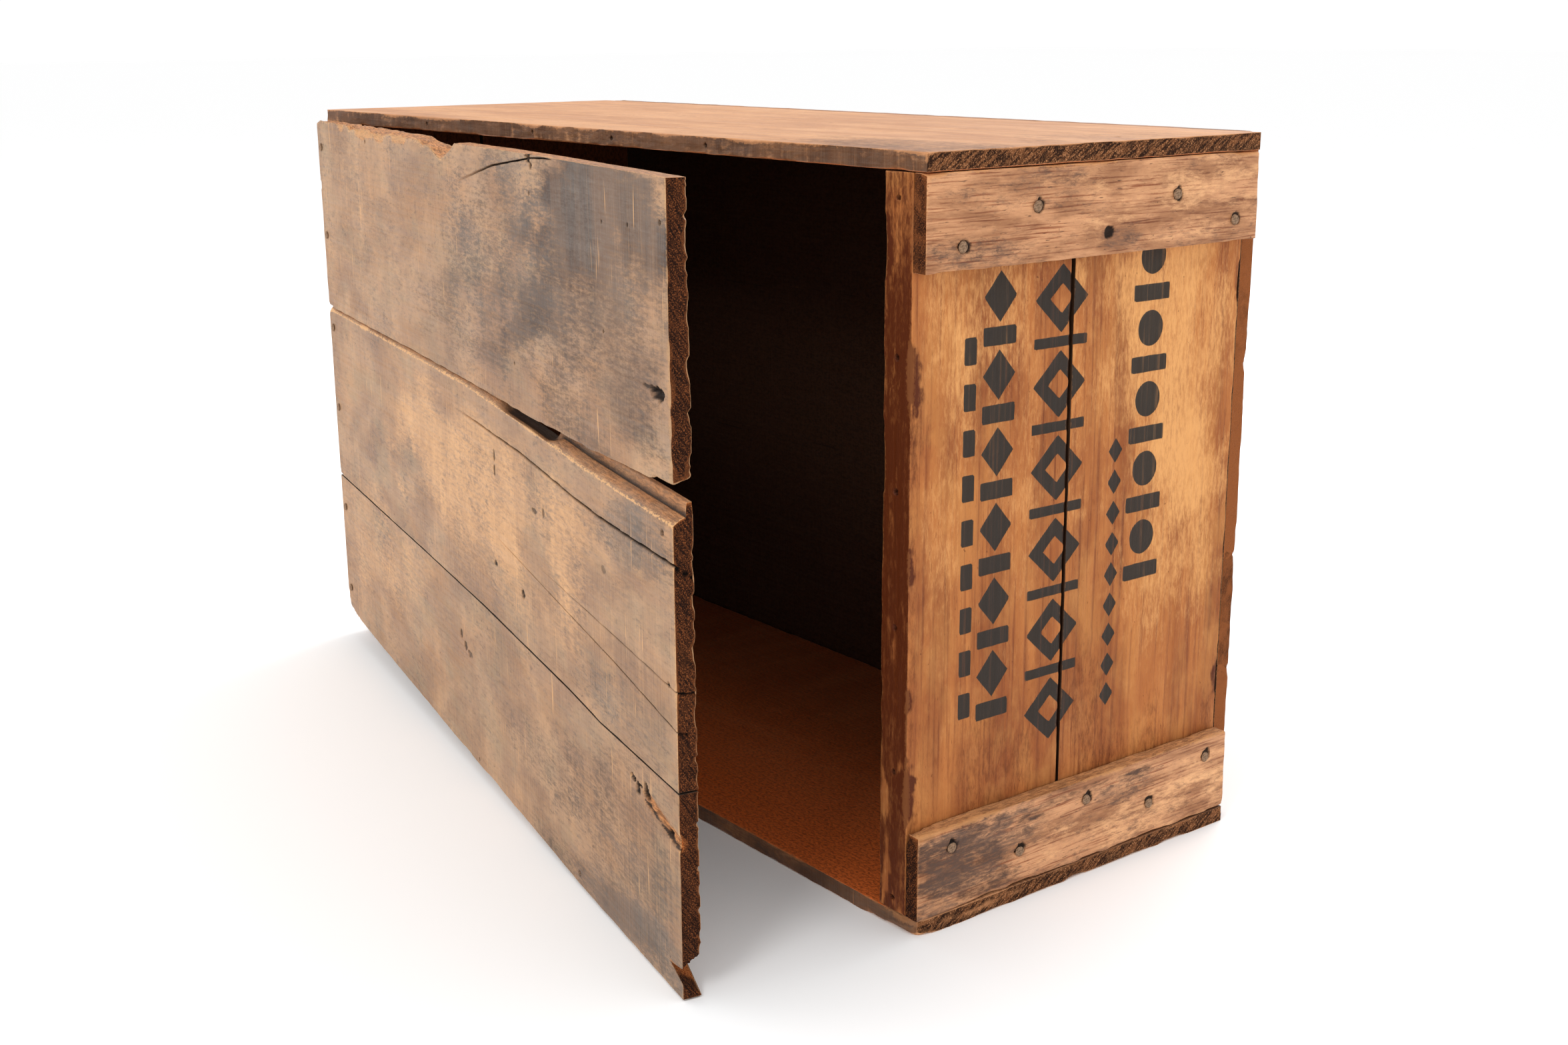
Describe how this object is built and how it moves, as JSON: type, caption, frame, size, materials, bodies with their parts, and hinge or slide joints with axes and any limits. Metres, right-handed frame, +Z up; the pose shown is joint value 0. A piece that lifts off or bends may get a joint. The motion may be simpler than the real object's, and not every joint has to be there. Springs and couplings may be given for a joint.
{
  "type": "wooden crate",
  "caption": "Nailed wooden crate lying on its long side, with battened ends and plank sides; the front planks have sprung from one end and swing open on bent nails.",
  "frame": {"origin": "Middle of the base board's underside, where the crate stands on the floor.", "axes": "+X runs along the crate to its right end, +Y from the open front to the back boards, +Z up. The front boards are stored sprung open by 10.8 degrees."},
  "size_m": [0.6668, 0.3883, 0.406],
  "materials": {
    "end_wood": "bare, oiled by handling, satin",
    "batten_wood": "bare, stained dark, dull",
    "shell_wood": "bare, dull",
    "back_wood": "bare, dull",
    "front_wood": "bare, weathered grey-brown, dull",
    "nail_iron": "rusted brown wire nail"
  },
  "bodies": {
    "crate": {"back_board_bottom": "back_wood", "back_board_lower": "back_wood", "back_board_top": "back_wood", "back_board_upper": "back_wood", "base_board": "shell_wood", "left_base_board_nail_1": "nail_iron", "left_base_board_nail_2": "nail_iron", "left_base_board_nail_3": "nail_iron", "left_batten_bottom": "batten_wood", "left_batten_nail_bottom_1": "nail_iron", "left_batten_nail_bottom_2": "nail_iron", "left_batten_nail_bottom_3": "nail_iron", "left_batten_nail_bottom_4": "nail_iron", "left_batten_nail_bottom_5": "nail_iron", "left_batten_nail_top_1": "nail_iron", "left_batten_nail_top_2": "nail_iron", "left_batten_nail_top_3": "nail_iron", "left_batten_nail_top_4": "nail_iron", "left_batten_nail_top_5": "nail_iron", "left_batten_top": "batten_wood", "left_end_board_front": "end_wood", "left_end_board_rear": "end_wood", "left_top_board_nail_1": "nail_iron", "left_top_board_nail_2": "nail_iron", "left_top_board_nail_3": "nail_iron", "left_top_board_nail_4": "nail_iron", "right_base_board_nail_1": "nail_iron", "right_base_board_nail_2": "nail_iron", "right_base_board_nail_3": "nail_iron", "right_batten_bottom": "batten_wood", "right_batten_nail_bottom_1": "nail_iron", "right_batten_nail_bottom_2": "nail_iron", "right_batten_nail_bottom_3": "nail_iron", "right_batten_nail_bottom_4": "nail_iron", "right_batten_nail_bottom_5": "nail_iron", "right_batten_nail_top_1": "nail_iron", "right_batten_nail_top_2": "nail_iron", "right_batten_nail_top_4": "nail_iron", "right_batten_nail_top_5": "nail_iron", "right_batten_top": "batten_wood", "right_end_board_front": "end_wood", "right_end_board_rear": "end_wood", "right_top_board_nail_1": "nail_iron", "right_top_board_nail_2": "nail_iron", "right_top_board_nail_3": "nail_iron", "right_top_board_nail_4": "nail_iron", "top_board": "shell_wood"},
    "lower_front_boards": {"front_board_lower": "front_wood", "front_board_middle": "front_wood", "lower_hinge_nail_1": "nail_iron", "lower_hinge_nail_2": "nail_iron", "middle_hinge_nail_1": "nail_iron", "middle_hinge_nail_2": "nail_iron"},
    "upper_front_board": {"front_board_upper": "front_wood", "upper_hinge_nail_1": "nail_iron", "upper_hinge_nail_2": "nail_iron"}
  },
  "joints": [
    {"name": "lower_boards_swing", "type": "hinge", "parent": "crate", "child": "lower_front_boards", "pos_m": [-0.3221, -0.124, 0.13], "axis": [0, 0, -1], "range_deg": [-10.8, 19.2]},
    {"name": "upper_board_swing", "type": "hinge", "parent": "crate", "child": "upper_front_board", "pos_m": [-0.3221, -0.124, 0.33], "axis": [0, 0, -1], "range_deg": [-10.8, 19.2]}
  ],
  "couplings": [
    {"joint": "upper_board_swing", "follows": "lower_boards_swing", "ratio": 1}
  ]
}
